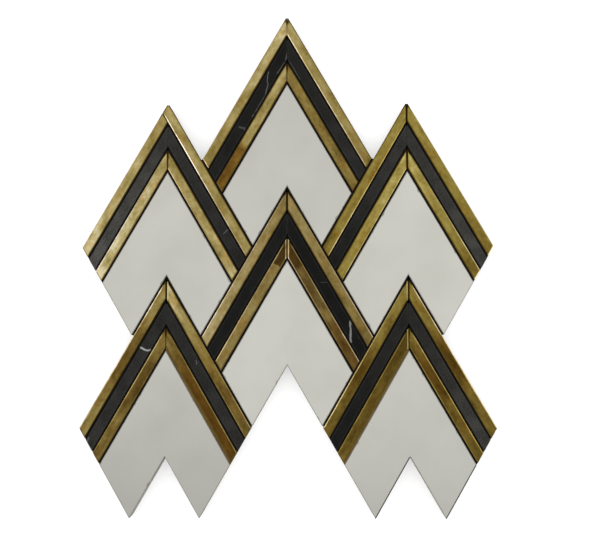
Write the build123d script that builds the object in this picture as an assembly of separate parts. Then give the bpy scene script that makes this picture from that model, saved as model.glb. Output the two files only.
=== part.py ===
from build123d import *
import os
from math import cos, radians, sin

# A mosaic sheet of six interlocking chevron units, lying face up.
# A unit is an arrow of white marble under two brass bars with a strip of black marble between them,
# on each side of its apex. The V notch below one unit takes the apex of the unit two rows further down.
# +X is the sheet's width, +Y points the way the apexes do, and Z is 0 at the back of the sheet.

# Driving dimensions, in millimetres and degrees.
column_pitch = 74.0  # sideways step from one column of apexes to the next
row_pitch = 55.0  # downward step from one row of apexes to the next
half_apex_angle = 30.0  # every edge leans this far from the upright
joint = 1.2  # open joint between neighbouring pieces
mitre_joint = 0.15  # joint between the two bars that meet at an apex
brass_width = 5.9
black_width = 6.4
brass_bevel_width = 0.5  # of the sloping upper edges of a brass bar, seen from above
brass_bevel_drop = 0.25  # how far that slope falls below the face
stone_arris = 0.5  # easing on the upper edges of a marble piece, the same each way
tip_blunt = 0.6  # how much of a bar's sharp upper end is sawn off
tile_thickness = 9.5  # of marble and brass alike, so that the face is flush
net_thickness = 0.5  # glass-fibre net bedded in its glue
net_inset = 0.6  # from the edge of the tiles to the edge of the net

# The units, row by row from the top. A single unit stands in the middle, and a pair to either side of it.
unit_rows = [["top"], ["upper_left", "upper_right"], ["centre"], ["lower_left", "lower_right"]]

# In the lapped unit one outer bar runs through to the far edge and the other stops against it,
# instead of the two being mitred.
lapped_unit = "upper_left"

# A unit's sides: a leg from apex to tip, a flank from tip to low point, then the side of the notch.
lean_sin = sin(radians(half_apex_angle))
lean_cos = cos(radians(half_apex_angle))
flank = row_pitch / lean_cos
leg = (column_pitch / lean_sin + flank) / 2

# Directions of a unit's right-hand half, with the apex at the origin.
down_leg = Vector(lean_sin, -lean_cos)
into_unit = Vector(-lean_cos, -lean_sin)
out_of_flank = Vector(lean_cos, -lean_sin)
out_of_left_leg = Vector(-lean_cos, lean_sin)

# A bevel is its width across the face, then its drop below the face.
brass_bevel = (brass_bevel_width, brass_bevel_drop)
stone_bevel = (stone_arris, stone_arris)

# Where each bar's outer edge runs, measured squarely from the unit's edge.
outer_brass_edge = joint / 2
black_edge = outer_brass_edge + brass_width + joint
inner_brass_edge = black_edge + black_width + joint
white_edge = inner_brass_edge + brass_width + joint


def point_at(edge_distance):
    """The point on the unit's middle line that a line at this distance from either leg passes through."""
    return Vector(0, -edge_distance / lean_sin)


def trim(solid, point, outward):
    """What lies behind the plane through the point, which faces outward."""
    return split(solid, Plane(origin=point, z_dir=outward), keep=Keep.BOTTOM)


def saw(solid, point, outward, bevel):
    """An upright saw cut, with the upper edge that it leaves bevelled."""
    bevel_width, bevel_drop = bevel
    cut = trim(solid, point, outward)
    bevel_foot = point + Vector(0, 0, tile_thickness - bevel_drop)
    return trim(cut, bevel_foot, outward * bevel_drop + Vector(0, 0, bevel_width))


def bar_stock(edge_distance, width, bevel):
    """Stock with two bevelled upper edges, lying along the right-hand leg and longer than it."""
    bevel_width, bevel_drop = bevel
    near = edge_distance
    far = edge_distance + width
    shoulder = tile_thickness - bevel_drop
    sides = [(near, shoulder), (near, 0), (far, 0), (far, shoulder)]
    face = [(far - bevel_width, tile_thickness), (near + bevel_width, tile_thickness)]
    across_leg = Plane(origin=(0, 0, 0), x_dir=into_unit, z_dir=-down_leg)
    return extrude(across_leg * make_face(Polyline(*sides, *face, close=True)), amount=2 * leg, both=True)


def blunt_tip(bar, edge_distance, bevel):
    """The bar with its sharp upper end sawn off square to the middle line."""
    sharp_tip = point_at(edge_distance + lean_cos * mitre_joint / 2)
    return saw(bar, sharp_tip - Vector(0, tip_blunt), Vector(0, 1), bevel)


def flank_heel(bar, bevel):
    """The bar with its lower end sawn along the flank."""
    return saw(bar, down_leg * leg - out_of_flank * (joint / 2), out_of_flank, bevel)


def mitred_bar(edge_distance, width, bevel):
    """A right-hand bar that meets its partner on the unit's middle line."""
    bar = bar_stock(edge_distance, width, bevel)
    bar = saw(bar, Vector(mitre_joint / 2, 0), Vector(-1, 0), bevel)
    return flank_heel(blunt_tip(bar, edge_distance, bevel), bevel)


def through_bar():
    """The right-hand outer bar of the lapped unit, which runs on to the left-hand edge."""
    bar = bar_stock(outer_brass_edge, brass_width, brass_bevel)
    bar = saw(bar, point_at(outer_brass_edge), out_of_left_leg, brass_bevel)
    return flank_heel(blunt_tip(bar, outer_brass_edge, brass_bevel), brass_bevel)


def butted_bar():
    """The other outer bar of the lapped unit, drawn on the right, which stops against the through bar."""
    bar = bar_stock(outer_brass_edge, brass_width, brass_bevel)
    far_side = point_at(outer_brass_edge + brass_width + mitre_joint)
    return flank_heel(saw(bar, far_side, out_of_left_leg, brass_bevel), brass_bevel)


def unit_cell():
    """The unit's outline out to the middle of the joints around it."""
    tip = down_leg * leg
    low_point = tip - Vector(lean_sin, lean_cos) * flank
    notch = Vector(0, -2 * row_pitch)
    right_side = [Vector(0, 0), tip, low_point, notch]
    left_side = [Vector(-corner.X, corner.Y) for corner in (low_point, tip)]
    return make_face(Polyline(*right_side, *left_side, close=True))


def white_field():
    """The marble arrow: the cell less half a joint all round, cut off along the inner brass bars."""
    outline = offset(unit_cell(), amount=-joint / 2, kind=Kind.INTERSECTION)
    field = extrude(outline, amount=tile_thickness)
    for side in (1, -1):
        out_of_leg = Vector(-side * into_unit.X, -into_unit.Y)
        field = trim(field, point_at(white_edge), out_of_leg)
    return chamfer(field.faces().sort_by(Axis.Z)[-1].edges(), stone_arris)


def net_backing(places):
    """The net, cut along the sheet's outline and set back from it, with its inner corners cut round."""
    sheet = Sketch() + [place * unit_cell() for place in places]
    net = offset(sheet, amount=-(joint / 2 + net_inset), kind=Kind.ARC)
    return extrude(net, amount=net_thickness)


# The origin is below the middle of the sheet, so the units are raised by half its height.
sheet_top = point_at(outer_brass_edge + lean_cos * mitre_joint / 2).Y - tip_blunt
lowest_row = len(unit_rows) - 1
sheet_bottom = -lowest_row * row_pitch - (leg + flank) * lean_cos + joint / 2 / lean_sin
sheet_middle = (sheet_top + sheet_bottom) / 2
unit_places = {}
for row, names in enumerate(unit_rows):
    for index, name in enumerate(names):
        columns_aside = 2 * index - (len(names) - 1)
        unit_places[name] = Pos(columns_aside * column_pitch, -row * row_pitch - sheet_middle)

outer_brass = mitred_bar(outer_brass_edge, brass_width, brass_bevel)
black_strip = mitred_bar(black_edge, black_width, stone_bevel)
inner_brass = mitred_bar(inner_brass_edge, brass_width, brass_bevel)
pieces = {
    "outer_brass_right": outer_brass,
    "outer_brass_left": mirror(outer_brass, about=Plane.YZ),
    "black_strip_right": black_strip,
    "black_strip_left": mirror(black_strip, about=Plane.YZ),
    "inner_brass_right": inner_brass,
    "inner_brass_left": mirror(inner_brass, about=Plane.YZ),
    "white_field": white_field(),
}
lapped_pieces = {
    "outer_brass_right": through_bar(),
    "outer_brass_left": mirror(butted_bar(), about=Plane.YZ),
}

os.makedirs("parts", exist_ok=True)
export_step(net_backing(unit_places.values()), "parts/net_backing.step")
on_net = Pos(0, 0, net_thickness)
for name, place in unit_places.items():
    unit_pieces = pieces | lapped_pieces if name == lapped_unit else pieces
    for piece, shape in unit_pieces.items():
        export_step(on_net * place * shape, f"parts/{name}_{piece}.step")
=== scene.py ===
import math
import random

import bmesh
import bpy
from mathutils import Matrix, Vector


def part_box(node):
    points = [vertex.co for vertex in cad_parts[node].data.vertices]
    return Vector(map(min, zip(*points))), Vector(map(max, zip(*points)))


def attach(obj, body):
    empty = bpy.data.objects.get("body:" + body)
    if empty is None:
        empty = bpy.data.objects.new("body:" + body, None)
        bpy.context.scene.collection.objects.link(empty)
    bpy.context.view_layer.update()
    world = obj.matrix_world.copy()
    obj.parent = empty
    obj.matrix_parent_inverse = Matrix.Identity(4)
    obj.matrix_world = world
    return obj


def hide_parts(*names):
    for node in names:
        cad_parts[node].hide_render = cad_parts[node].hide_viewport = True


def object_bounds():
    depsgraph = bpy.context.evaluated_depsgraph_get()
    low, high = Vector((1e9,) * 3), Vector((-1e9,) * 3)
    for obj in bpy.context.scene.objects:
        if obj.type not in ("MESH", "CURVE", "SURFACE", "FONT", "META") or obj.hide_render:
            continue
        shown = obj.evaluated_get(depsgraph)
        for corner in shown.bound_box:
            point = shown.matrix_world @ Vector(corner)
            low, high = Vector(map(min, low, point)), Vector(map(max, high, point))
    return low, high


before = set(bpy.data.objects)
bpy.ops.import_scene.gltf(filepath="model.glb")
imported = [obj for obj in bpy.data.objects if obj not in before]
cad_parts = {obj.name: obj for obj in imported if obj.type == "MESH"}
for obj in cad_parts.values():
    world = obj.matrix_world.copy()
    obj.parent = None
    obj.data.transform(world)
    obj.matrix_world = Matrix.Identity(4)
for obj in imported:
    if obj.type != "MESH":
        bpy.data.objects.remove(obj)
cad_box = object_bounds()

# The net behind the tiles. It is woven from glass-fibre strands, over and under one another,
# and bedded in a coat of glue that holds every tile. The glue's dark colour is partly painted shade,
# which keeps the deep joints above it dark. The net was cut along the sheet's outline, a little
# inside it, so only its cut edge shows from the side.
mm = 0.001
net_pitch = 5.0 * mm
strand_width = 1.1 * mm
strand_thickness = 0.2 * mm
strand_lift = 0.05 * mm  # how far a strand rises over one that it crosses, and dips under the next
glue_thickness = 0.3 * mm
strand_colour = (0.70, 0.69, 0.63, 1)
strand_shadow_colour = (0.46, 0.45, 0.39, 1)
# Dark partly as painted shade, so that the joints above the glue stay dark.
glue_colour = (0.045, 0.040, 0.034, 1)
glue_pale_colour = (0.11, 0.10, 0.085, 1)


class Shade:
    """A socket in the node tree of a finish. Arithmetic on shades adds Math nodes to that tree."""

    def __init__(self, tree, socket=None):
        self.tree = tree
        self.socket = socket

    def node(self, kind, settings, inputs, output=0):
        """A new node with these settings, values and links, as the shade of one of its outputs."""
        made = self.tree.nodes.new("ShaderNode" + kind)
        for name, value in settings.items():
            if name == "stops":
                elements = made.color_ramp.elements
                elements.remove(elements[1])
                elements[0].position, elements[0].color = value[0]
                for position, colour in value[1:]:
                    elements.new(position).color = colour
            else:
                setattr(made, name, value)
        for name, value in inputs.items():
            if isinstance(value, Shade):
                self.tree.links.new(value.socket, made.inputs[name])
            else:
                made.inputs[name].default_value = value
        return Shade(self.tree, made.outputs[output])

    def math(self, operation, *values):
        return self.node("Math", {"operation": operation}, dict(enumerate(values)))

    def __add__(self, other):
        return self.math("ADD", self, other)

    def __sub__(self, other):
        return self.math("SUBTRACT", self, other)

    def __rsub__(self, other):
        return self.math("SUBTRACT", other, self)

    def __mul__(self, other):
        return self.math("MULTIPLY", self, other)

    def __truediv__(self, other):
        return self.math("DIVIDE", self, other)

    __radd__ = __add__
    __rmul__ = __mul__

    def between(self, low, high):
        """0 below low, 1 above high, with a smooth step in between."""
        limits = {"Value": self, "From Min": low, "From Max": high}
        return self.node("MapRange", {"interpolation_type": "SMOOTHSTEP"}, limits)

    def mixed(self, first, second):
        """The first colour where this shade is 0, the second where it is 1."""
        return self.node("Mix", {"data_type": "RGBA"}, {0: self, 6: first, 7: second}, 2)

    def dimmed(self, colour):
        """A colour multiplied by this shade."""
        multiplied = {"data_type": "RGBA", "blend_type": "MULTIPLY"}
        return self.node("Mix", multiplied, {0: 1.0, 6: colour, 7: self}, 2)

    def tinted(self, colour, tint):
        """A colour as it is where this shade is 0, and multiplied by the tint where it is 1."""
        multiplied = {"data_type": "RGBA", "blend_type": "MULTIPLY"}
        return self.node("Mix", multiplied, {0: self, 6: colour, 7: tint}, 2)

    def noted(self, name, output):
        """What the mesh notes under a name at each of its points."""
        return self.node("Attribute", {"attribute_name": name}, {}, output)

    def part(self, axis):
        """The share of places along one axis."""
        return self.node("SeparateXYZ", {}, {0: self}, axis)

    def shifted(self, offset):
        """Places moved by an offset."""
        return self.node("VectorMath", {"operation": "ADD"}, {0: self, 1: offset})

    def stretched(self, factors):
        """Places with each axis multiplied by its own factor."""
        return self.node("VectorMath", {"operation": "MULTIPLY"}, {0: self, 1: factors})

    def noise(self, size, detail=3.0):
        """Cloudy noise over places, from 0 to 1, with blotches of about this size in millimetres."""
        return self.node("TexNoise", {}, {"Vector": self, "Scale": 1 / size, "Detail": detail})

    def bumps(self, height):
        """A surface raised by this shade times a height in metres."""
        return self.node("Bump", {}, {"Height": self, "Strength": 1.0, "Distance": height})

    def feeds(self, shader, name):
        self.tree.links.new(self.socket, shader.inputs[name])


def new_finish(name):
    """A new material, a shade of its node tree to start from, and its surface shader."""
    material = bpy.data.materials.new(name)
    material.use_nodes = True
    tree = material.node_tree
    return material, Shade(tree), tree.nodes["Principled BSDF"]


def edges_of(corners):
    """The edges of an outline, each from one corner to the next."""
    return list(zip(corners, corners[1:] + corners[:1]))


def footprint(node):
    """The corners of a solid's underside, in order round it, anticlockwise seen from above."""
    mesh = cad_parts[node].data
    edges = set()
    for face in mesh.polygons:
        if face.normal.z < -0.9:
            corners = [mesh.vertices[index].co.xy.to_tuple(6) for index in face.vertices]
            edges.update(edges_of(corners))
    before = {end: start for start, end in edges if (end, start) not in edges}
    outline = [min(before)]
    while before[outline[-1]] != outline[0]:
        outline.append(before[outline[-1]])
    return [Vector(corner) for corner in outline]


def seat(name, mesh, axes, material, node):
    """Puts a finished piece in its place, to stand for its solid if it has one, and notes each point's place
    along the piece's own axes, in millimetres, for the finish."""
    to_axes = axes.inverted()
    places = [share / mm for vertex in mesh.vertices for share in to_axes @ vertex.co]
    mesh.attributes.new("places", "FLOAT_VECTOR", "POINT").data.foreach_set("vector", places)
    mesh.materials.append(material)
    piece = bpy.data.objects.new(name, mesh)
    bpy.context.scene.collection.objects.link(piece)
    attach(piece, "root")
    if node:
        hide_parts(node)


def runs_inside(outline, axis, offset):
    """The stretches of a line along an axis, at an offset from the middle, that lie in an outline."""
    crossings = []
    for start, end in edges_of(outline):
        if (start[1 - axis] > offset) != (end[1 - axis] > offset):
            share = (offset - start[1 - axis]) / (end[1 - axis] - start[1 - axis])
            crossings.append(start[axis] + share * (end[axis] - start[axis]))
    crossings.sort()
    return zip(crossings[::2], crossings[1::2])


def tube_faces(first, last, sides):
    """The faces between the rings of a tube, whose points are numbered from first up to last."""
    faces = []
    for ring in range(first, last - sides, sides):
        for side in range(sides):
            after = (side + 1) % sides
            faces.append((ring + side, ring + after, ring + sides + after, ring + sides + side))
    return faces


def closed_mesh(name, points, faces):
    """A mesh whose faces all point outwards."""
    mesh = bpy.data.meshes.new(name)
    mesh.from_pydata(points, [], faces)
    shaped = bmesh.new()
    shaped.from_mesh(mesh)
    bmesh.ops.recalc_face_normals(shaped, faces=shaped.faces)
    shaped.to_mesh(mesh)
    shaped.free()
    return mesh


def woven_strands(outline, middle_height):
    """Flat strands along both axes, each a tube of six sides that goes over and under the others."""
    points = []
    faces = []
    section = [(0.5, 0), (0.3, 0.5), (-0.3, 0.5), (-0.5, 0), (-0.3, -0.5), (0.3, -0.5)]
    sides = len(section)
    for axis in (0, 1):
        spread = [corner[1 - axis] for corner in outline]
        for row in range(math.ceil(min(spread) / net_pitch), math.floor(max(spread) / net_pitch) + 1):
            for start, end in runs_inside(outline, axis, row * net_pitch):
                half_pitch = net_pitch / 2
                inner = range(math.ceil(start / half_pitch), math.floor(end / half_pitch) + 1)
                stations = [start] + [half_pitch * index for index in inner] + [end]
                for station in stations:
                    wave = math.cos(math.pi * (station / net_pitch + row))
                    height = middle_height + (1 - 2 * axis) * strand_lift * wave
                    for across, up in section:
                        point = Vector((0, 0, height + up * strand_thickness))
                        point[axis] = station
                        point[1 - axis] = row * net_pitch + across * strand_width
                        points.append(point)
                first = len(points) - len(stations) * sides
                faces += tube_faces(first, len(points), sides)
                faces.append(range(first, first + sides))
                faces.append(range(len(points) - sides, len(points)))
    mesh = closed_mesh("woven_strands", points, faces)
    mesh.shade_smooth()
    return mesh


def flat_coat(outline, low, high):
    """A closed flat coat between two heights."""
    count = len(outline)
    points = [(corner.x, corner.y, height) for height in (low, high) for corner in outline]
    ends = [range(count - 1, -1, -1), range(count, 2 * count)]
    return closed_mesh("glue_coat", points, ends + tube_faces(0, 2 * count, count))


def glass_fibre():
    material, start, shader = new_finish("glass_fibre")
    places = start.noted("places", "Vector")
    fibres = places.noise(0.15) * 0.6 + places.noise(2.5) * 0.4
    fibres.between(0.2, 0.8).mixed(strand_shadow_colour, strand_colour).feeds(shader, "Base Color")
    fibres.bumps(0.03 * mm).feeds(shader, "Normal")
    shader.inputs["Roughness"].default_value = 0.55
    return material


def dark_glue(name, colour, pale_colour, shine):
    material, start, shader = new_finish(name)
    places = start.noted("places", "Vector")
    smears = places.noise(9.0, 4.0)
    smears.between(0.35, 0.75).mixed(colour, pale_colour).feeds(shader, "Base Color")
    (0.35 + 0.3 * smears).feeds(shader, "Roughness")
    (smears + 0.3 * places.noise(0.8)).bumps(0.08 * mm).feeds(shader, "Normal")
    shader.inputs["Specular IOR Level"].default_value = shine
    return material


net_low, net_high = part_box("net_backing")
net_outline = footprint("net_backing")
strand_middle = net_low.z + strand_lift + strand_thickness / 2
strands = woven_strands(net_outline, strand_middle)
coat = flat_coat(net_outline, net_high.z - glue_thickness, net_high.z)
sheet_axes = Matrix.Identity(4)
seat("net_strands", strands, sheet_axes, glass_fibre(), "net_backing")
net_glue = dark_glue("net_glue", glue_colour, glue_pale_colour, 0.5)
seat("net_glue", coat, sheet_axes, net_glue, "net_backing")

# The white fields: six arrow-shaped slabs of white marble, sawn from thin stock and honed flat.
# Their upper arris is eased by hand, with the odd small chip, and their sides keep saw marks.
# Each is glued to the net below it.
white_colour = (0.60, 0.60, 0.545, 1)
white_shadow_colour = (0.54, 0.53, 0.475, 1)
# The colour of the painted shade on the stone's arris and sides.
edge_shade_colour = (0.10, 0.085, 0.06, 1)
stone_arris = 0.4 * mm
arris_steps = 4
field_chips = 7
stone_crease = math.radians(32)
chip_length = 1.6 * mm
outline_step = 0.9 * mm

# How much light each field gives back, at its apex and at its low points: partly the stone's own tone,
# and partly painted shade that darkens the lower fields towards the bottom of the sheet.
white_tones = {
    "top": (0.80, 0.88),
    "upper_left": (0.89, 0.86),
    "upper_right": (0.93, 0.93),
    "centre": (0.94, 0.90),
    "lower_left": (0.84, 0.64),
    "lower_right": (0.92, 0.75),
}

# One field has a painted shade line along the arrises that face right and down.
shaded_arris_unit = "lower_right"
side_shade_colour = (0.015, 0.014, 0.012, 1)
side_shade_width = 0.65  # millimetres


def inset_edges(corners, depth):
    """Where each edge of an outline starts and ends once all edges have moved inwards by a depth.
    An edge that this uses up starts and ends where its neighbours meet."""
    along = [(end - start).normalized() for start, end in edges_of(corners)]
    moved = [corner + depth * Vector((-run.y, run.x)) for corner, run in zip(corners, along)]
    left_over = list(range(len(corners)))
    while True:
        ends = {}
        for edge, following in zip(left_over, left_over[1:] + left_over[:1]):
            way = (moved[following] - moved[edge]).cross(along[following])
            ends[edge] = moved[edge] + along[edge] * (way / along[edge].cross(along[following]))
        starts = {edge: ends[before] for edge, before in zip(left_over, left_over[-1:] + left_over[:-1])}
        lengths = {edge: (ends[edge] - starts[edge]).dot(along[edge]) for edge in left_over}
        shortest = min(left_over, key=lengths.get)
        if lengths[shortest] > 0:
            break
        left_over.remove(shortest)
    spans = []
    for edge in range(len(corners)):
        before = max((kept for kept in left_over if kept <= edge), default=left_over[-1])
        spans.append((starts[edge], ends[edge]) if before == edge else (ends[before], ends[before]))
    return spans


def tessera(name, corners, low, high, arris, wear, crease):
    """A sawn tile on an outline. The arris lists the rings of its upper edge, as how far in from the side
    and how far below the face each runs. Wear enlarges them from place to place, and what turns more
    sharply than the crease keeps a hard line. Its points note an edge of 0 on the face, 1 on the arris
    and 2 on the sides."""
    face_support = 0.12 * mm
    foot_easing = 0.15 * mm
    thickness = high - low
    spots = []
    for edge, (start, end) in enumerate(edges_of(corners)):
        steps = max(1, round((end - start).length / outline_step))
        inward = Vector((start.y - end.y, end.x - start.x)).normalized()
        spots += [(edge, step / steps, inward) for step in range(steps)]
    rings = [(foot_easing, thickness, 0, 2), (0, thickness - foot_easing, 0, 2), (0, 2 * arris[0][1], 0, 2)]
    rings += [(inset, drop, 1, 1) for inset, drop in arris]
    rings += [(arris[-1][0] + face_support, 0, 1, 0)]
    points = []
    edge_values = []
    enlarged = wear(spots)
    for inset, drop, worn, edge_value in rings:
        spans = inset_edges(corners, inset)
        for (edge, share, inward), larger in zip(spots, enlarged):
            start, end = spans[edge]
            extra = worn * larger
            spot = start.lerp(end, share) + inward * inset * extra
            points.append((spot.x, spot.y, high - drop * (1 + extra)))
            edge_values.append(edge_value)
    count = len(spots)
    ends = [range(count - 1, -1, -1), range(len(points) - count, len(points))]
    mesh = bpy.data.meshes.new(name)
    mesh.from_pydata(points, [], ends + tube_faces(0, len(points), count))
    mesh.attributes.new("edge", "FLOAT", "POINT").data.foreach_set("value", edge_values)
    shaped = bmesh.new()
    shaped.from_mesh(mesh)
    bmesh.ops.remove_doubles(shaped, verts=shaped.verts, dist=0.002 * mm)
    shaped.to_mesh(mesh)
    shaped.free()
    mesh.shade_smooth()
    mesh.set_sharp_from_angle(angle=crease)
    return mesh


def chipped(seed, chips):
    """Wear for a stone arris: slightly uneven all along, with a few chips clear of the corners."""
    def wear(spots):
        draw = random.Random(seed)
        enlarged = [draw.uniform(-0.12, 0.12) for _ in spots]
        for _ in range(chips):
            middle = draw.randrange(len(spots))
            reach = draw.uniform(0.5, 1.0) * chip_length / outline_step
            size = draw.uniform(0.4, 1.4)
            for index in range(len(spots)):
                away = abs(index - middle) / reach
                enlarged[index] += size * max(0, 1 - away * away)
        return [0 if share == 0 else larger for (edge, share, inward), larger in zip(spots, enlarged)]
    return wear


def rounded(radius, steps):
    """The rings of a quarter-round edge, from the side up to the face."""
    turns = [math.radians(90 * step / steps) for step in range(steps + 1)]
    return [(radius * (1 - math.cos(turn)), radius * (1 - math.sin(turn))) for turn in turns]


def side_grime(places, low_end, high_end):
    """1 along one side of an outline, and 0 elsewhere."""
    soft = 0.2  # millimetres
    run = (high_end - low_end).normalized()
    length = (high_end - low_end).length / mm
    across = places.part("X") - low_end.x / mm
    up = places.part("Y") - low_end.y / mm
    inwards = run.x * up - run.y * across
    near = inwards.between(-2 * soft, -soft) * inwards.between(side_shade_width + soft, side_shade_width)
    return near * (run.x * across + run.y * up).between(length, length - soft)


def white_marble(unit, tones, corners):
    material, start, shader = new_finish("white_marble_" + unit)
    heights = [corner.y / mm for corner in corners]
    apex, foot = max(heights), min(heights)
    places = start.noted("places", "Vector")
    edge = start.noted("edge", "Fac")
    clouds = places.noise(28.0, 4.0).between(0.3, 0.8)
    grains = places.noise(0.9, 2.0)
    # Partly the stone's own tone, partly painted shade towards the low points of the lower fields.
    tone = tones[0] + (tones[1] - tones[0]) / (foot - apex) * (places.part("Y") - apex)
    stone = tone.dimmed((clouds * 0.7 + grains * 0.3).mixed(white_colour, white_shadow_colour))
    # Painted shade: the arris is darkened unevenly into a thin dark outline, and the sides, down in the
    # joints, a little.
    edge_shade_strength = 0.35 + 0.5 * places.noise(3.0)
    shaded_edges = edge.between(0, 1) * edge_shade_strength + 0.3 * edge.between(1, 2)
    colour = shaded_edges.mixed(stone, edge_shade_colour)
    # Painted shade: a dark line along this field's arrises that face right and down.
    if unit == shaded_arris_unit:
        above_side = edge.between(1.6, 1.1)
        for low_end, high_end in edges_of(corners):
            if high_end.x > low_end.x and high_end.y > low_end.y:
                line = side_grime(places, low_end, high_end) * above_side
                colour = line.mixed(colour, side_shade_colour)
    colour.feeds(shader, "Base Color")
    (0.36 + 0.12 * grains).feeds(shader, "Roughness")
    saw_marks = places.stretched((0.2, 0.2, 3.0)).noise(1.0) * edge
    (grains * 0.2 + saw_marks).bumps(0.05 * mm).feeds(shader, "Normal")
    shader.inputs["Specular IOR Level"].default_value = 0.4
    return material


for unit, tones in white_tones.items():
    node = unit + "_white_field"
    low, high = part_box(node)
    corners = footprint(node)
    arris = rounded(stone_arris, arris_steps)
    stone = white_marble(unit, tones, corners)
    slab = tessera(node, corners, low.z, high.z, arris, chipped(node, field_chips), stone_crease)
    seat(unit + "_white_slab", slab, sheet_axes, stone, node)

# The black strips: a pair in every unit, sawn from black marble, mitred at the apex and honed.
# The stone is nearly plain, from charcoal to grey, with a hairline of white calcite here and there.
# Each strip is glued down between an outer and an inner brass bar.
black_colour = (1.0, 0.97, 0.86, 1)
vein_colour = (0.50, 0.50, 0.49, 1)
arris_colour = (0.06, 0.06, 0.055, 1)
strip_chips = 4
vein_waver = 1.2  # millimetres, from one side to the other
waver_size = 2.5  # millimetres

# How much light each unit's strips give back, at the apex and at the heel: left strip, right strip.
black_tones = {
    "top": [(0.004, 0.008), (0.009, 0.017)],
    "upper_left": [(0.024, 0.064), (0.024, 0.012)],
    "upper_right": [(0.028, 0.004), (0.024, 0.042)],
    "centre": [(0.005, 0.005), (0.004, 0.003)],
    "lower_left": [(0.015, 0.022), (0.016, 0.020)],
    "lower_right": [(0.014, 0.004), (0.012, 0.038)],
}

# Veins by strip: the points that each passes, along the strip from its upper corner and across it,
# then its width, in millimetres, and how bright it is.
veins = {
    "top_black_strip_left": [
        ([(23.7, 0.4), (28.6, 2.3), (30.5, 4.1), (35.0, 5.2), (38.0, 6.2)], 0.4, 0.2),
        ([(38.0, 6.2), (53.4, 6.0)], 0.4, 0.2),
        ([(6.0, 3.9), (12.3, 6.2), (21.7, 5.7)], 0.5, 0.16),
        ([(62.9, 2.1), (62.0, 5.1), (63.0, 6.4)], 0.8, 0.10),
    ],
    "top_black_strip_right": [([(12.8, 6.3), (25.7, 6.3)], 0.4, 0.12)],
    "upper_left_black_strip_right": [([(75.3, 3.7), (74.5, 0.3)], 0.5, 0.14)],
    "centre_black_strip_right": [
        ([(76.2, 0.2), (81.4, 2.9), (87.2, 6.2)], 0.85, 0.42),
        ([(46.7, 3.9), (48.6, 0.3)], 0.3, 0.08),
    ],
    "lower_left_black_strip_left": [
        ([(30.8, 0.3), (30.7, 2.6), (30.2, 5.0), (29.0, 6.3)], 0.9, 0.65),
        ([(93.5, 0.8), (96.0, 1.2)], 0.6, 0.15),
    ],
    "lower_left_black_strip_right": [([(39.0, 1.6), (41.0, 2.2)], 0.6, 0.12)],
}


def strip_axes(corners, height):
    """A strip's own axes: the first runs down the strip from its upper corner, the third is upright."""
    runs = [end - start for start, end in edges_of(corners)]
    longest = max(runs, key=lambda run: run.length)
    down = longest.normalized() if longest.y < 0 else -longest.normalized()
    top = max(corners, key=lambda corner: corner.y)
    axes = Matrix.Rotation(math.atan2(down.y, down.x), 4, "Z")
    axes.translation = (top.x, top.y, height)
    return axes


def length_along(axes, corners):
    """How long a strip is along its own axes, in millimetres."""
    to_axes = axes.inverted()
    return max((to_axes @ corner.to_3d()).x for corner in corners) / mm


def distance_from(places, start, end):
    """How far places are from a straight stretch between two points of the face."""
    run = Vector((*end, 0)) - Vector((*start, 0))
    offset = places.shifted((-start[0], -start[1], 0))
    factors = {0: offset, 1: run / run.length_squared}
    share = offset.node("VectorMath", {"operation": "DOT_PRODUCT"}, factors, "Value")
    share = share.math("MINIMUM", share.math("MAXIMUM", share, 0.0), 1.0)
    nearest = share.node("VectorMath", {"operation": "SCALE"}, {0: run, "Scale": share})
    return offset.node("VectorMath", {"operation": "DISTANCE"}, {0: offset, 1: nearest}, "Value")


def vein_mask(places, vein):
    """How bright a wavering vein is along its middle, fading to 0 at its edges."""
    passed, width, strength = vein
    noise = places.node("TexNoise", {}, {"Vector": places, "Scale": 1 / waver_size, "Detail": 2.0}, "Color")
    aside = noise.shifted((-0.5, -0.5, -0.5)).stretched((vein_waver, vein_waver, 0))
    bent = places.shifted(aside).stretched((1, 1, 0))
    distance = distance_from(bent, passed[0], passed[1])
    for start, end in zip(passed[1:], passed[2:]):
        distance = distance.math("MINIMUM", distance, distance_from(bent, start, end))
    return strength * (1 - distance.between(0.2 * width, width))


def black_marble(strip, length, tones, strip_veins, across_sign):
    material, start, shader = new_finish("black_marble_" + strip)
    places = start.noted("places", "Vector")
    edge = start.noted("edge", "Fac")
    clouds = places.noise(10.0, 4.0).between(0.3, 0.75)
    grains = places.noise(0.8, 3.0).between(0.3, 0.7)
    tone = tones[0] + (tones[1] - tones[0]) / length * places.part("X")
    stone = (tone * (0.4 + 0.5 * clouds + 0.7 * grains)).dimmed(black_colour)
    for vein in strip_veins:
        stone = vein_mask(places.stretched((1, across_sign, 1)), vein).mixed(stone, vein_colour)
    (edge.between(0, 1) * 0.4 * places.noise(4.0)).mixed(stone, arris_colour).feeds(shader, "Base Color")
    (0.30 + 0.15 * clouds).feeds(shader, "Roughness")
    (clouds * 0.3).bumps(0.02 * mm).feeds(shader, "Normal")
    shader.inputs["Specular IOR Level"].default_value = 0.1
    return material


for unit, tones in black_tones.items():
    for side, across_sign, strip_tones in (("left", 1, tones[0]), ("right", -1, tones[1])):
        node = f"{unit}_black_strip_{side}"
        low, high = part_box(node)
        corners = footprint(node)
        axes = strip_axes(corners, low.z)
        length = length_along(axes, corners)
        stone = black_marble(f"{unit}_{side}", length, strip_tones, veins.get(node, []), across_sign)
        arris = rounded(stone_arris, arris_steps)
        strip = tessera(node, corners, low.z, high.z, arris, chipped(node, strip_chips), stone_crease)
        seat(f"{unit}_black_stone_{side}", strip, axes, stone, node)

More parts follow.
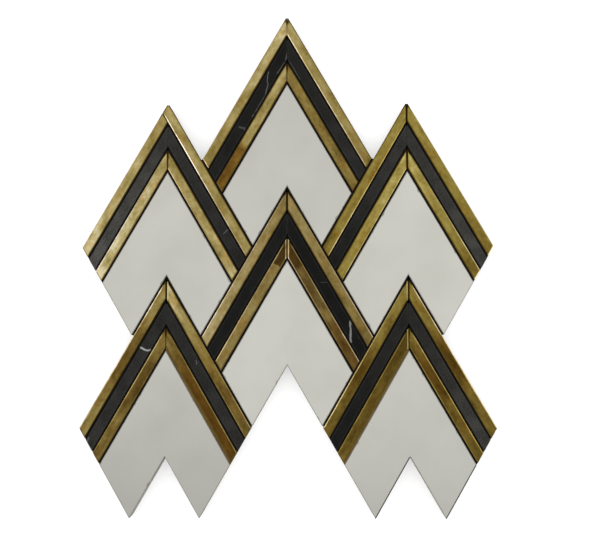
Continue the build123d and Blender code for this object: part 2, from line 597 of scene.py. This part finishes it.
# The brass bars: two pairs in every unit, cut from flat brass bar with bevelled upper edges.
# Rolling left faint streaks along them. Their faces are clouded from pale gold to brown, partly by age
# and partly as painted reflection, and their bevels carry painted shade and painted highlights.
# They are glued to the net.
bevel_width = 0.5 * mm
bevel_drop = 0.25 * mm
bevel_easing = 0.05 * mm
dull_tip = 3.0  # millimetres along the bar
tip_wear = 0.6 * mm
closed_mitre = 0.45  # below this painted highlight, a mitre's bevel keeps painted shade at its foot
bevel_crease = math.radians(9)
# The painted shade on a bar's sides, down in the joints.
shaded_side_colour = (0.05, 0.038, 0.018, 1)
copper_tint = (1.12, 0.84, 0.55, 1)
highlight_tint = (1.06, 1.0, 1.35, 1)
paler_highlight = (0.1, 0.5)  # the painted highlight at which that tint starts, and at which it is full
shaded_bevel_tone = 0.08  # tone of a bevel with no painted highlight, which is painted shade
bevel_highlight_tone = 2.6  # what a full painted highlight adds to it

# Where a mitre's painted shade fades out, and where its painted highlight line fades in and out, in
# millimetres from the middle of the unit, then the tone of that line.
mitre_shade_fades = (0.35, 0.9)
highlight_line_starts = (0.5, 0.65)
highlight_line_ends = (1.0, 1.25)
highlight_line_tone = 2.0

# How far an edge turns along the bar to count as its heel, or against it to count as its mitre.
heel_turn = 0.5
mitre_turn = -0.25

# The colours of brass from deep brown tarnish to freshly rubbed, by tone.
brass_shades = [
    (0.0, (0.015, 0.009, 0.002)),
    (0.35, (0.112, 0.072, 0.017)),
    (0.7, (0.223, 0.159, 0.041)),
    (1.0, (0.288, 0.223, 0.069)),
    (1.6, (0.430, 0.348, 0.140)),
    (2.5, (0.700, 0.640, 0.390)),
]
brightest = brass_shades[-1][0]

# The tone of each unit's bars at the apex and at the heel: outer left, outer right, inner left, inner right.
# The tones are partly patina and partly painted reflection: bars lower down and to the right are darker.
brass_tones = {
    "top": [(1.7, 0.8), (1.25, 0.8), (1.25, 1.1), (0.75, 0.75)],
    "upper_left": [(1.15, 1.75), (1.25, 1.15), (1.5, 1.85), (1.2, 1.45)],
    "upper_right": [(1.1, 0.7), (1.05, 0.6), (1.55, 0.9), (1.65, 0.5)],
    "centre": [(0.75, 1.5), (1.05, 0.65), (0.8, 0.85), (0.40, 0.36)],
    "lower_left": [(1.0, 0.85), (1.85, 0.4), (0.6, 0.55), (0.65, 0.6)],
    "lower_right": [(0.9, 0.45), (0.8, 0.45), (0.25, 0.5), (0.65, 0.4)],
}

# The painted highlight on each bar: its outer bevel at the apex and the heel, its inner bevel likewise,
# then its mitre and its heel. A mitre under 0.5 gets painted shade along it, and above that a painted
# highlight line.
bevel_highlights = {
    "top_outer_left": ((0.4, 0.4), (0.1, 0.1), 0.47, 0.5),
    "top_outer_right": ((0.1, 0.1), (0.65, 0.5), 0.47, 0.1),
    "top_inner_left": ((0.1, 0.1), (0.1, 0.1), 0.4, 0.1),
    "top_inner_right": ((0.1, 0.1), (0.1, 0.1), 0.4, 0.1),
    "upper_left_outer_left": ((0.4, 0.5), (0.1, 0.1), 0.5, 0.2),
    "upper_left_outer_right": ((0.1, 0.1), (0.95, 0.5), 0.5, 0.1),
    "upper_left_inner_left": ((0.4, 1.0), (0.2, 0.3), 0.3, 0.4),
    "upper_left_inner_right": ((0.1, 0.1), (0.5, 0.2), 0.3, 0.1),
    "upper_right_outer_left": ((0.1, 0.1), (0.25, 0.6), 0.1, 0.1),
    "upper_right_outer_right": ((0.3, 0.4), (0.1, 0.1), 0.1, 1.0),
    "upper_right_inner_left": ((0.1, 0.1), (0.4, 0.5), 0.1, 0.1),
    "upper_right_inner_right": ((0.2, 0.95), (0.1, 0.1), 0.1, 0.8),
    "centre_outer_left": ((0.4, 0.6), (0.1, 0.1), 0.0, 0.3),
    "centre_outer_right": ((0.2, 0.6), (0.1, 0.1), 0.0, 0.2),
    "centre_inner_left": ((0.3, 0.4), (0.2, 0.1), 0.9, 0.1),
    "centre_inner_right": ((0.25, 0.55), (0.5, 0.05), 0.9, 0.1),
    "lower_left_outer_left": ((0.8, 0.4), (0.0, 0.0), 0.1, 0.1),
    "lower_left_outer_right": ((0.1, 0.4), (0.15, 0.25), 0.85, 0.1),
    "lower_left_inner_left": ((0.4, 0.2), (0.2, 0.1), 0.3, 0.1),
    "lower_left_inner_right": ((0.2, 0.3), (0.12, 0.12), 0.3, 0.1),
    "lower_right_outer_left": ((0.3, 0.65), (0.1, 0.1), 0.75, 0.1),
    "lower_right_outer_right": ((0.8, 0.4), (0.1, 0.1), 0.1, 0.1),
    "lower_right_inner_left": ((0.2, 0.2), (0.12, 0.12), 0.8, 0.1),
    "lower_right_inner_right": ((0.45, 0.2), (0.3, 0.2), 0.3, 0.1),
}

# How much blue is left in the brass of some units: little where it is golden, more where it is pale.
brass_blue = {"upper_right": 0.72, "lower_right": 0.78, "centre": 1.15}

# Bars with darker or brighter stretches, partly tarnish and partly painted reflection: where each starts
# and ends along the bar and how softly, in millimetres, then its share of the tone and how coppery it is.
tarnish_and_reflection = {
    "top_outer_brass_left": [(-3, 3.8, 0.8, 0.15, 0)],
    "top_outer_brass_right": [(-3, 3.8, 0.8, 0.15, 0)],
    "upper_right_outer_brass_left": [(-3, 2.8, 0.8, 0.25, 0)],
    "upper_right_outer_brass_right": [(-3, 2.8, 0.8, 0.25, 0)],
    "upper_left_inner_brass_left": [(84, 120, 4, 1.35, 0)],
    "top_inner_brass_left": [(59, 100, 3, 0.45, 0.9)],
    "centre_inner_brass_left": [(-9, 17.5, 0.6, 0.22, 0.4)],
    "centre_inner_brass_right": [
        (-9, 19, 1.5, 0.42, 0.5),
        (48, 56, 3, 1.7, 0),
        (59, 120, 5, 0.95, 0.5),
    ],
    "lower_left_outer_brass_left": [(35, 74, 16, 0.43, 0.3)],
    "lower_left_outer_brass_right": [(36, 90, 16, 0.6, 0.3)],
    "lower_left_inner_brass_left": [(22, 52, 14, 0.6, 0.2)],
    "lower_left_inner_brass_right": [(22, 120, 14, 0.45, 0.9)],
    "lower_right_outer_brass_left": [(50, 78, 14, 0.45, 0.4)],
    "lower_right_outer_brass_right": [(36, 72, 14, 0.5, 0.5)],
    "lower_right_inner_brass_right": [(16, 50, 12, 0.55, 0.6)],
}


def polished_bevel(width, drop, easing):
    """The rings of a bevel with its two arrises just eased, from the side up to the face."""
    slope = math.hypot(width, drop)
    across, down = easing * width / slope, easing * drop / slope
    return [(0, drop + easing), (across, drop - down), (width - across, down), (width + easing, 0)]


def uneven(seed):
    """Wear for a brass edge: a bevel filed by hand, a little wider here and narrower there."""
    def wear(spots):
        draw = random.Random(seed)
        waves = []
        for _ in range(4):
            waves.append((draw.uniform(0.03, 0.15), draw.uniform(0, math.tau), draw.uniform(0.02, 0.05)))
        widths = []
        for index in range(len(spots)):
            widths.append(sum(size * math.sin(index * pace + lag) for pace, lag, size in waves))
        return [0 if share == 0 else larger for (edge, share, inward), larger in zip(spots, widths)]
    return wear


def worn_tip(corners, depth):
    """The outline of a bar whose sharp upper end, sawn blunt, has worn down by a depth."""
    top = max(corner.y for corner in corners)
    level = 0.01 * mm
    tip = [index for index, corner in enumerate(corners) if corner.y > top - level]
    worn = list(corners)
    for index in tip if len(tip) == 2 else []:
        lower = min(corners[index - 1], corners[(index + 1) % len(corners)], key=lambda beside: beside.y)
        worn[index] = corners[index] + (lower - corners[index]) * (depth / (top - lower.y))
    return worn


def note_wear(bar, axes, length, outer_side, middle, rub):
    """Notes at each point of a bar how far it is from the mitre, at the middle of its unit, and the painted
    highlight on the edge nearest to it. The outer side is 1 where the bar's second axis points away from the
    unit, and -1 where it points into it. The sharp tip gets no highlight, and nor does the foot of the
    mitre's bevel, which stays in painted shade."""
    to_axes = axes.inverted()
    outer, inner, mitre, heel = rub
    face = max(vertex.co.z for vertex in bar.vertices)
    highlight_values = []
    for vertex, normal in zip(bar.vertices, bar.vertex_normals):
        along, across, _ = to_axes.to_3x3() @ Vector((*normal.vector.xy, 0)).normalized()
        place = (to_axes @ vertex.co).x / mm
        at_foot = vertex.co.z < face - bevel_drop / 2 and mitre < closed_mitre
        facing_out = across * outer_side > 0
        if along > heel_turn:
            bright = heel
        elif along > mitre_turn:
            apex_highlight, heel_highlight = outer if facing_out else inner
            bright = apex_highlight + (heel_highlight - apex_highlight) * place / length
        else:
            bright = 0 if at_foot or facing_out or mitre > 0.5 else mitre
        highlight_values.append(bright * min(max(place / dull_tip - 1, 0), 1))
    bar.attributes.new("rub", "FLOAT", "POINT").data.foreach_set("value", highlight_values)
    from_mitre = [abs(vertex.co.x - middle) / mm for vertex in bar.vertices]
    bar.attributes.new("from_mitre", "FLOAT", "POINT").data.foreach_set("value", from_mitre)


def brass(bar, length, tones, blue, mitre, patches):
    material, start, shader = new_finish("brass_" + bar)
    draw = random.Random(bar)
    places = start.noted("places", "Vector")
    edge = start.noted("edge", "Fac")
    along = places.part("X")
    cast = places.shifted((draw.uniform(0, 900), draw.uniform(0, 900), 0))
    clouds = cast.stretched((0.4, 1, 1)).noise(5.0, 4.0) - 0.5
    blotches = cast.noise(2.2, 4.0) - 0.5
    streaks = cast.stretched((0.05, 1, 1)).noise(0.45, 2.0) - 0.5
    mottle = 1 + 1.7 * clouds + 0.9 * blotches + 0.5 * streaks
    copper = 0.6 * cast.shifted((0, 400, 0)).stretched((0.6, 1, 1)).noise(5.0, 3.0).between(0.5, 0.75)
    # Partly patina, partly painted reflection.
    tone = tones[0] + (tones[1] - tones[0]) / length * along
    for first, last, softness, share, coppery in patches:
        ragged = along + 3.0 * blotches
        begun = ragged.between(first - softness, first + softness)
        over = ragged.between(last - softness, last + softness)
        inside = begun * (1 - over)
        tone = tone * (1 - (1 - share) * inside)
        copper = copper.math("MAXIMUM", copper, coppery * inside)
    on_bevel = edge.between(0, 1)
    from_mitre = start.noted("from_mitre", "Fac")
    # Painted shade along the mitre below 0.5, and a painted highlight line along it above.
    mitre_shade = max(0, 1 - 2 * mitre) * (1 - from_mitre.between(*mitre_shade_fades))
    line = max(0, 2 * mitre - 1) * from_mitre.between(*highlight_line_starts) * (1 - from_mitre.between(*highlight_line_ends))
    rub = start.noted("rub", "Fac")
    # Bevels: painted shade where no highlight is painted, and the painted highlight where one is.
    tone = (1 - on_bevel) * tone + on_bevel * (shaded_bevel_tone + bevel_highlight_tone * rub)
    tone = (tone * (1 - mitre_shade) + highlight_line_tone * line) * mottle
    shades = []
    for shade_tone, (red, green, full_blue) in brass_shades:
        shades.append((shade_tone / brightest, (red, green, full_blue * blue, 1)))
    metal = start.node("ValToRGB", {"stops": shades}, {"Fac": tone / brightest})
    metal = ((1 - on_bevel) * copper).tinted(metal, copper_tint)
    # Painted highlights are paler where they are strong.
    metal = (on_bevel * rub.between(*paler_highlight)).tinted(metal, highlight_tint)
    # Painted shade: the sides darken to brown in the joints.
    edge.between(1, 1.6).mixed(metal, shaded_side_colour).feeds(shader, "Base Color")
    (0.38 + 0.1 * clouds - 0.12 * on_bevel + 0.35 * edge.between(1, 2)).feeds(shader, "Roughness")
    (streaks * 0.5 + blotches * 0.5).bumps(0.02 * mm).feeds(shader, "Normal")
    shader.inputs["Metallic"].default_value = 1.0
    return material


bars = [("outer", "left", -1), ("outer", "right", 1), ("inner", "left", -1), ("inner", "right", 1)]
for unit, tones in brass_tones.items():
    low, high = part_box(unit + "_white_field")
    middle = (low.x + high.x) / 2
    for (row, side, outer_side), bar_tones in zip(bars, tones):
        node = f"{unit}_{row}_brass_{side}"
        name = f"{unit}_{row}_{side}"
        low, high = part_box(node)
        corners = footprint(node)
        axes = strip_axes(corners, low.z)
        length = length_along(axes, corners)
        rub = bevel_highlights[name]
        metal = brass(name, length, bar_tones, brass_blue.get(unit, 1), rub[2], tarnish_and_reflection.get(node, []))
        arris = polished_bevel(bevel_width, bevel_drop, bevel_easing)
        outline = worn_tip(corners, tip_wear) if row == "outer" else corners
        bar = tessera(node, outline, low.z, high.z, arris, uneven(node), bevel_crease)
        note_wear(bar, axes, length, outer_side, middle, rub)
        seat(f"{unit}_{row}_bar_{side}", bar, axes, metal, node)

# The glue in the joints: a ridge, hollow along its middle, fills each joint to just below the face.
# It is partly glue squeezed up from the coat on the net and partly painted shade: its near-black colour
# keeps the deep joints dark. Two joints beside a white field are filled flush instead, with brown glue.
glue_depth = 0.7 * mm  # below the face
flush_depth = 0.15 * mm
glue_unevenness = 0.3  # share of the depth
glue_hollow = 0.2  # share of the depth
glue_setback = 0.02 * mm  # from the ends of a joint
glue_clearance = 0.01  # from the walls of a joint, as a share of its width
glue_step = 3.0 * mm
joint_width = 1.2 * mm
probe_step = 0.5 * mm
open_sides = [("top", "left"), ("top", "right"), ("upper_left", "left"), ("upper_right", "right")]
flush_joints = [("lower_left", "right"), ("lower_right", "left")]
# Near black: painted shade for the deep joints.
glue_and_shade_colour = (0.003, 0.0025, 0.002, 1)
glue_and_shade_pale_colour = (0.010, 0.008, 0.006, 1)
brown_colour = (0.085, 0.054, 0.010, 1)
brown_pale_colour = (0.125, 0.083, 0.020, 1)


def gap_to(edge, point):
    """How far a point is from an edge."""
    start, end = edge
    share = (point - start).dot(end - start) / (end - start).length_squared
    return (start.lerp(end, min(max(share, 0), 1)) - point).length


def middle_of(corners):
    """The mean of an outline's corners."""
    return sum(corners, Vector((0, 0))) / len(corners)


def joint_between(first, second):
    """The two walls of the joint between two tiles, each from the same end to the other."""
    near_end, near_start = min(edges_of(first), key=lambda edge: gap_to(edge, middle_of(second)))
    far_wall = min(edges_of(second), key=lambda edge: gap_to(edge, middle_of(first)))
    return (near_start, near_end), far_wall


def joint_outside(bar, strip, others):
    """The two walls of the joint outside a unit's outer bar, where it runs past tiles of other units."""
    long_edges = sorted(edges_of(bar), key=lambda edge: (edge[1] - edge[0]).length)[-2:]
    start, end = max(long_edges, key=lambda edge: gap_to(edge, middle_of(strip)))
    run = (end - start).normalized()
    outward = Vector((run.y, -run.x))
    length = (end - start).length
    beside = []
    for step in range(math.floor(length / probe_step) + 1):
        probe = start + run * probe_step * step + outward * (joint_width + probe_step)
        if any(low < probe.x < high for tile in others for low, high in runs_inside(tile, 0, probe.y)):
            beside.append(probe_step * step)
    wall = [start + run * beside[0], start + run * beside[-1]]
    return wall, [spot + outward * joint_width for spot in wall]


def glue_ridge(near_wall, far_wall, depth, draw):
    """The points and faces of a ridge between two walls, from the net up to a depth below the face."""
    length = (near_wall[1] - near_wall[0]).length
    margin = glue_setback / length
    steps = round(length / glue_step)
    points = []
    for step in range(steps + 1):
        share = margin + (1 - 2 * margin) * step / steps
        near = near_wall[0].lerp(near_wall[1], share)
        far = far_wall[0].lerp(far_wall[1], share)
        near, far = near.lerp(far, glue_clearance), far.lerp(near, glue_clearance)
        low = net_high.z
        top = cad_box[1].z - depth * (1 + draw.uniform(0, glue_unevenness))
        hollow = (near.lerp(far, 0.5), top - depth * glue_hollow)
        ring = [(near, low), (far, low), (far, top), hollow, (near, top)]
        points += [(*spot, height) for spot, height in ring]
    sides = len(ring)
    ends = [range(sides), range(len(points) - sides, len(points))]
    return points, ends + tube_faces(0, len(points), sides)


def glue_ridges(name, joints, depth):
    """Ridges in a number of joints, as one mesh."""
    all_points = []
    all_faces = []
    draw = random.Random(name)
    for near_wall, far_wall in joints:
        points, faces = glue_ridge(near_wall, far_wall, depth, draw)
        all_faces += [[corner + len(all_points) for corner in face] for face in faces]
        all_points += points
    return closed_mesh(name, all_points, all_faces)


across_unit = ["outer_brass_{}", "black_strip_{}", "inner_brass_{}", "white_field"]
outlines = {node: footprint(node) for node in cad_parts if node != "net_backing"}
dark_joints = []
brown_joints = []
for unit in white_tones:
    others = [outline for node, outline in outlines.items() if not node.startswith(unit)]
    for side in ("left", "right"):
        tiles = [outlines[f"{unit}_{piece.format(side)}"] for piece in across_unit]
        dark_joints += [joint_between(first, second) for first, second in zip(tiles, tiles[1:3])]
        beside_white = brown_joints if (unit, side) in flush_joints else dark_joints
        beside_white.append(joint_between(tiles[2], tiles[3]))
        if (unit, side) not in open_sides:
            dark_joints.append(joint_outside(tiles[0], tiles[1], others))

dark_ridges = glue_ridges("dark_ridges", dark_joints, glue_depth)
glue_and_shade_finish = dark_glue("joint_glue_and_shade", glue_and_shade_colour, glue_and_shade_pale_colour, 0.05)
seat("joint_glue_and_shade", dark_ridges, sheet_axes, glue_and_shade_finish, None)
brown_ridges = glue_ridges("brown_ridges", brown_joints, flush_depth)
brown_glue = dark_glue("flush_glue", brown_colour, brown_pale_colour, 0.2)
seat("flush_glue", brown_ridges, sheet_axes, brown_glue, None)

# The floor: a white sweep under the sheet, white to the eye and in reflections, which keeps the shadow.
# From below it can be seen through.
floor_size = 8.0
floor_colour = (0.80, 0.80, 0.80, 1)
floor_glow = 0.45

floor_material, start, shader = new_finish("white_floor")
rays = [start.node("LightPath", {}, {}, f"Is {kind} Ray") for kind in ("Camera", "Glossy", "Transmission")]
shader.inputs["Base Color"].default_value = floor_colour
shader.inputs["Roughness"].default_value = 0.9
shader.inputs["Specular IOR Level"].default_value = 0.0
shader.inputs["Emission Strength"].default_value = 1.0
(floor_glow * (rays[0] + rays[1] + rays[2])).feeds(shader, "Emission Color")
below = start.node("NewGeometry", {}, {}, "Backfacing")
clear = start.node("BsdfTransparent", {}, {})
front = Shade(start.tree, shader.outputs[0])
surface = start.node("MixShader", {}, {0: below, 1: front, 2: clear})
start.tree.links.new(surface.socket, start.tree.nodes["Material Output"].inputs["Surface"])

floor_mesh = bpy.data.meshes.new("floor")
half = floor_size / 2
floor_corners = [(-half, -half, 0), (half, -half, 0), (half, half, 0), (-half, half, 0)]
floor_mesh.from_pydata(floor_corners, [], [(0, 1, 2, 3)])
floor_mesh.materials.append(floor_material)
floor = bpy.data.objects.new("floor", floor_mesh)
floor.location.z = cad_box[0].z
bpy.context.scene.collection.objects.link(floor)

# The light: a soft studio, paler half-way up its walls than overhead, with a dim panel on either hand.
overhead_light = 0.85
more_above = 0.5  # how much paler it gets towards the top of the picture
less_right = 0.2  # and how much darker towards the right
wall_light = 1.05
overhead_starts = (0.75, 0.97)  # how far up the walls pass into what is overhead
world = bpy.data.worlds.new("soft_studio")
world.use_nodes = True
bpy.context.scene.world = world
studio = Shade(world.node_tree)
direction = studio.node("TexCoord", {}, {}, "Generated")
overhead = overhead_light + more_above * direction.part("Y") - less_right * direction.part("X")
above = direction.part("Z").between(*overhead_starts)
sky = (1 - above) * wall_light + above * overhead
sky.feeds(world.node_tree.nodes["Background"], "Color")

# Each panel's middle, how wide and high it is, and its strength in watts.
panels = {
    "left_panel": ((-0.6, 0.1, 0.45), 0.4, 0.3, 0.7),
    "right_panel": ((0.6, 0.0, 0.4), 0.3, 0.3, 0.4),
}
for name, (location, width, height, watts) in panels.items():
    lamp = bpy.data.lights.new(name, "AREA")
    lamp.shape = "RECTANGLE"
    lamp.size = width
    lamp.size_y = height
    lamp.energy = watts
    panel = bpy.data.objects.new(name, lamp)
    panel.location = location
    panel.rotation_euler = Vector((-location[0], 0, 0)).to_track_quat("-Z", "Y").to_euler()
    panel.visible_camera = False
    bpy.context.scene.collection.objects.link(panel)

# The camera looks down on the sheet from just below and right of its middle.
camera_place = (0.01763, -0.04752, 0.51776)
camera_turn = (4.244, 1.107, -0.085)  # degrees
camera_data = bpy.data.cameras.new("camera")
camera_data.lens = 50
camera_data.sensor_width = 36
camera = bpy.data.objects.new("camera", camera_data)
camera.location = camera_place
camera.rotation_euler = [math.radians(turn) for turn in camera_turn]
bpy.context.scene.collection.objects.link(camera)
bpy.context.scene.camera = camera
bpy.context.scene.view_settings.view_transform = "Standard"
